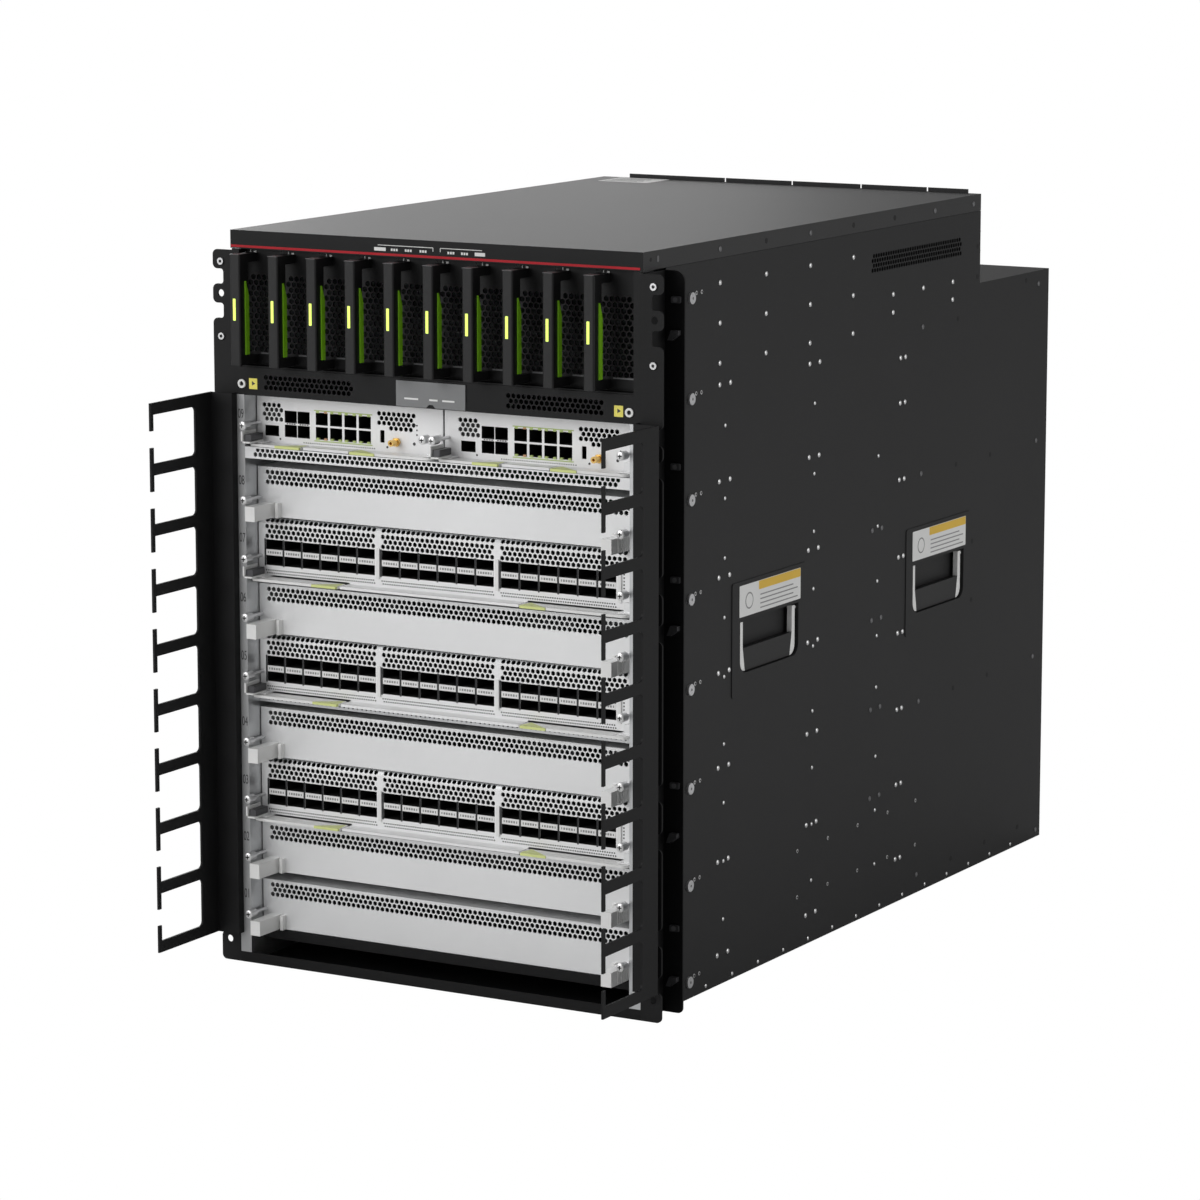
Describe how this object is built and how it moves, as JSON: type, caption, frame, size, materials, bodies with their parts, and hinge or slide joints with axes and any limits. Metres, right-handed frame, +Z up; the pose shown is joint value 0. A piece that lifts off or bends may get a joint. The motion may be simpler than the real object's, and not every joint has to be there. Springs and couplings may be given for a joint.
{
  "type": "modular chassis switch",
  "caption": "Rack-mounted modular network switch: open-front card cage with line cards, blank panels, management modules, plug-in power modules, cable combs and rear fan trays.",
  "frame": {"origin": "centre of the footprint at the base of the chassis", "axes": "+X to the viewer's right, +Y from the front to the rear, +Z up"},
  "size_m": [0.4826, 0.983, 0.707],
  "materials": {
    "dark_paint": "fine powder coat, dark grey",
    "black_paint": "black, half matt",
    "zinc_sheet": "bright zinc plated sheet",
    "card_metal": "bright brushed nickel",
    "white_plastic": "white moulding",
    "lever_white": "white paint with a yellow-green tab",
    "clear_slip": "clear plastic slip",
    "screw_steel": "turned steel",
    "board_green": "laminate board",
    "fan_black": "black moulding"
  },
  "bodies": {
    "chassis": {"base_tray": "zinc_sheet", "chassis_frame": "zinc_sheet", "top_cover": "dark_paint", "front_bezel": "black_paint", "label_card": "clear_slip", "side_panel_left": "dark_paint", "rack_ear_left": "dark_paint", "setback_flange_left": "dark_paint", "cable_comb_left": "dark_paint", "side_panel_right": "dark_paint", "rack_ear_right": "dark_paint", "setback_flange_right": "dark_paint", "cable_comb_right": "dark_paint", "panel_screws": "screw_steel", "midplane_board": "board_green", "fabric_boards": "board_green", "power_inlet_panel": "dark_paint"},
    "lifting_handle_left_front": {"lifting_handle_left_front": "white_plastic"},
    "lifting_handle_left_rear": {"lifting_handle_left_rear": "white_plastic"},
    "lifting_handle_right_front": {"lifting_handle_right_front": "white_plastic"},
    "lifting_handle_right_rear": {"lifting_handle_right_rear": "white_plastic"},
    "filler_panel_01": {"filler_panel_01": "card_metal"},
    "filler_panel_02": {"filler_panel_02": "card_metal"},
    "filler_panel_04": {"filler_panel_04": "card_metal"},
    "filler_panel_06": {"filler_panel_06": "card_metal"},
    "filler_panel_08": {"filler_panel_08": "card_metal"},
    "line_card_03": {"line_card_03": "card_metal"},
    "line_card_03_lever_left": {"line_card_03_lever_left": "lever_white"},
    "line_card_03_lever_right": {"line_card_03_lever_right": "lever_white"},
    "line_card_05": {"line_card_05": "card_metal"},
    "line_card_05_lever_left": {"line_card_05_lever_left": "lever_white"},
    "line_card_05_lever_right": {"line_card_05_lever_right": "lever_white"},
    "line_card_07": {"line_card_07": "card_metal"},
    "line_card_07_lever_left": {"line_card_07_lever_left": "lever_white"},
    "line_card_07_lever_right": {"line_card_07_lever_right": "lever_white"},
    "management_module_left": {"management_module_left": "card_metal"},
    "management_module_left_lever_left": {"management_module_left_lever_left": "lever_white"},
    "management_module_left_lever_right": {"management_module_left_lever_right": "lever_white"},
    "management_module_right": {"management_module_right": "card_metal"},
    "management_module_right_lever_left": {"management_module_right_lever_left": "lever_white"},
    "management_module_right_lever_right": {"management_module_right_lever_right": "lever_white"},
    "power_module_01": {"power_module_01": "black_paint"},
    "power_module_02": {"power_module_02": "black_paint"},
    "power_module_03": {"power_module_03": "black_paint"},
    "power_module_04": {"power_module_04": "black_paint"},
    "power_module_05": {"power_module_05": "black_paint"},
    "power_module_06": {"power_module_06": "black_paint"},
    "power_module_07": {"power_module_07": "black_paint"},
    "power_module_08": {"power_module_08": "black_paint"},
    "power_module_09": {"power_module_09": "black_paint"},
    "power_module_10": {"power_module_10": "black_paint"},
    "fan_tray_1": {"fan_tray_1": "zinc_sheet"},
    "fan_rotor_1_left": {"fan_rotor_1_left": "fan_black"},
    "fan_rotor_1_right": {"fan_rotor_1_right": "fan_black"},
    "fan_tray_2": {"fan_tray_2": "zinc_sheet"},
    "fan_rotor_2_left": {"fan_rotor_2_left": "fan_black"},
    "fan_rotor_2_right": {"fan_rotor_2_right": "fan_black"},
    "fan_tray_3": {"fan_tray_3": "zinc_sheet"},
    "fan_rotor_3_left": {"fan_rotor_3_left": "fan_black"},
    "fan_rotor_3_right": {"fan_rotor_3_right": "fan_black"}
  },
  "joints": [
    {"name": "power_module_01_slide", "type": "slide", "parent": "chassis", "child": "power_module_01", "axis": [0, -1, 0], "range_m": [0, 0.42]},
    {"name": "power_module_02_slide", "type": "slide", "parent": "chassis", "child": "power_module_02", "axis": [0, -1, 0], "range_m": [0, 0.42]},
    {"name": "power_module_03_slide", "type": "slide", "parent": "chassis", "child": "power_module_03", "axis": [0, -1, 0], "range_m": [0, 0.42]},
    {"name": "power_module_04_slide", "type": "slide", "parent": "chassis", "child": "power_module_04", "axis": [0, -1, 0], "range_m": [0, 0.42]},
    {"name": "power_module_05_slide", "type": "slide", "parent": "chassis", "child": "power_module_05", "axis": [0, -1, 0], "range_m": [0, 0.42]},
    {"name": "power_module_06_slide", "type": "slide", "parent": "chassis", "child": "power_module_06", "axis": [0, -1, 0], "range_m": [0, 0.42]},
    {"name": "power_module_07_slide", "type": "slide", "parent": "chassis", "child": "power_module_07", "axis": [0, -1, 0], "range_m": [0, 0.42]},
    {"name": "power_module_08_slide", "type": "slide", "parent": "chassis", "child": "power_module_08", "axis": [0, -1, 0], "range_m": [0, 0.42]},
    {"name": "power_module_09_slide", "type": "slide", "parent": "chassis", "child": "power_module_09", "axis": [0, -1, 0], "range_m": [0, 0.42]},
    {"name": "power_module_10_slide", "type": "slide", "parent": "chassis", "child": "power_module_10", "axis": [0, -1, 0], "range_m": [0, 0.42]},
    {"name": "line_card_03_slide", "type": "slide", "parent": "chassis", "child": "line_card_03", "axis": [0, -1, 0], "range_m": [0, 0.38]},
    {"name": "line_card_03_lever_left_turn", "type": "hinge", "parent": "line_card_03", "child": "line_card_03_lever_left", "pos_m": [-0.1985, -0.3735, 0.1412], "axis": [0, 0, -1], "range_deg": [0, 40]},
    {"name": "line_card_03_lever_right_turn", "type": "hinge", "parent": "line_card_03", "child": "line_card_03_lever_right", "pos_m": [0.1985, -0.3735, 0.1412], "axis": [0, 0, 1], "range_deg": [0, 40]},
    {"name": "line_card_05_slide", "type": "slide", "parent": "chassis", "child": "line_card_05", "axis": [0, -1, 0], "range_m": [0, 0.38]},
    {"name": "line_card_05_lever_left_turn", "type": "hinge", "parent": "line_card_05", "child": "line_card_05_lever_left", "pos_m": [-0.1985, -0.3735, 0.2608], "axis": [0, 0, -1], "range_deg": [0, 40]},
    {"name": "line_card_05_lever_right_turn", "type": "hinge", "parent": "line_card_05", "child": "line_card_05_lever_right", "pos_m": [0.1985, -0.3735, 0.2608], "axis": [0, 0, 1], "range_deg": [0, 40]},
    {"name": "line_card_07_slide", "type": "slide", "parent": "chassis", "child": "line_card_07", "axis": [0, -1, 0], "range_m": [0, 0.38]},
    {"name": "line_card_07_lever_left_turn", "type": "hinge", "parent": "line_card_07", "child": "line_card_07_lever_left", "pos_m": [-0.1985, -0.3735, 0.3728], "axis": [0, 0, -1], "range_deg": [0, 40]},
    {"name": "line_card_07_lever_right_turn", "type": "hinge", "parent": "line_card_07", "child": "line_card_07_lever_right", "pos_m": [0.1985, -0.3735, 0.3728], "axis": [0, 0, 1], "range_deg": [0, 40]},
    {"name": "management_module_left_slide", "type": "slide", "parent": "chassis", "child": "management_module_left", "axis": [0, -1, 0], "range_m": [0, 0.34]},
    {"name": "management_module_left_lever_left_turn", "type": "hinge", "parent": "management_module_left", "child": "management_module_left_lever_left", "pos_m": [-0.1985, -0.3735, 0.5012], "axis": [0, 0, -1], "range_deg": [0, 40]},
    {"name": "management_module_left_lever_right_turn", "type": "hinge", "parent": "management_module_left", "child": "management_module_left_lever_right", "pos_m": [-0.0093, -0.3735, 0.5012], "axis": [0, 0, 1], "range_deg": [0, 40]},
    {"name": "management_module_right_slide", "type": "slide", "parent": "chassis", "child": "management_module_right", "axis": [0, -1, 0], "range_m": [0, 0.34]},
    {"name": "management_module_right_lever_left_turn", "type": "hinge", "parent": "management_module_right", "child": "management_module_right_lever_left", "pos_m": [0.0093, -0.3735, 0.5012], "axis": [0, 0, -1], "range_deg": [0, 40]},
    {"name": "management_module_right_lever_right_turn", "type": "hinge", "parent": "management_module_right", "child": "management_module_right_lever_right", "pos_m": [0.1985, -0.3735, 0.5012], "axis": [0, 0, 1], "range_deg": [0, 40]},
    {"name": "filler_panel_01_slide", "type": "slide", "parent": "chassis", "child": "filler_panel_01", "axis": [0, -1, 0], "range_m": [0, 0.05]},
    {"name": "filler_panel_02_slide", "type": "slide", "parent": "chassis", "child": "filler_panel_02", "axis": [0, -1, 0], "range_m": [0, 0.05]},
    {"name": "filler_panel_04_slide", "type": "slide", "parent": "chassis", "child": "filler_panel_04", "axis": [0, -1, 0], "range_m": [0, 0.05]},
    {"name": "filler_panel_06_slide", "type": "slide", "parent": "chassis", "child": "filler_panel_06", "axis": [0, -1, 0], "range_m": [0, 0.05]},
    {"name": "filler_panel_08_slide", "type": "slide", "parent": "chassis", "child": "filler_panel_08", "axis": [0, -1, 0], "range_m": [0, 0.05]},
    {"name": "fan_tray_1_slide", "type": "slide", "parent": "chassis", "child": "fan_tray_1", "axis": [0, 1, 0], "range_m": [0, 0.13]},
    {"name": "fan_rotor_1_left_turn", "type": "hinge", "parent": "fan_tray_1", "child": "fan_rotor_1_left", "pos_m": [-0.103, 0.4115, 0.10225], "axis": [0, 1, 0], "continuous": true},
    {"name": "fan_rotor_1_right_turn", "type": "hinge", "parent": "fan_tray_1", "child": "fan_rotor_1_right", "pos_m": [0.103, 0.4115, 0.10225], "axis": [0, 1, 0], "continuous": true},
    {"name": "fan_tray_2_slide", "type": "slide", "parent": "chassis", "child": "fan_tray_2", "axis": [0, 1, 0], "range_m": [0, 0.13]},
    {"name": "fan_rotor_2_left_turn", "type": "hinge", "parent": "fan_tray_2", "child": "fan_rotor_2_left", "pos_m": [-0.103, 0.4115, 0.30425], "axis": [0, 1, 0], "continuous": true},
    {"name": "fan_rotor_2_right_turn", "type": "hinge", "parent": "fan_tray_2", "child": "fan_rotor_2_right", "pos_m": [0.103, 0.4115, 0.30425], "axis": [0, 1, 0], "continuous": true},
    {"name": "fan_tray_3_slide", "type": "slide", "parent": "chassis", "child": "fan_tray_3", "axis": [0, 1, 0], "range_m": [0, 0.13]},
    {"name": "fan_rotor_3_left_turn", "type": "hinge", "parent": "fan_tray_3", "child": "fan_rotor_3_left", "pos_m": [-0.103, 0.4115, 0.50625], "axis": [0, 1, 0], "continuous": true},
    {"name": "fan_rotor_3_right_turn", "type": "hinge", "parent": "fan_tray_3", "child": "fan_rotor_3_right", "pos_m": [0.103, 0.4115, 0.50625], "axis": [0, 1, 0], "continuous": true},
    {"name": "lifting_handle_left_front_turn", "type": "hinge", "parent": "chassis", "child": "lifting_handle_left_front", "pos_m": [-0.217, -0.1395, 0.337], "axis": [0, 1, 0], "range_deg": [0, 90]},
    {"name": "lifting_handle_left_rear_turn", "type": "hinge", "parent": "chassis", "child": "lifting_handle_left_rear", "pos_m": [-0.217, 0.2295, 0.337], "axis": [0, 1, 0], "range_deg": [0, 90]},
    {"name": "lifting_handle_right_front_turn", "type": "hinge", "parent": "chassis", "child": "lifting_handle_right_front", "pos_m": [0.217, -0.1395, 0.337], "axis": [0, -1, 0], "range_deg": [0, 90]},
    {"name": "lifting_handle_right_rear_turn", "type": "hinge", "parent": "chassis", "child": "lifting_handle_right_rear", "pos_m": [0.217, 0.2295, 0.337], "axis": [0, -1, 0], "range_deg": [0, 90]}
  ]
}
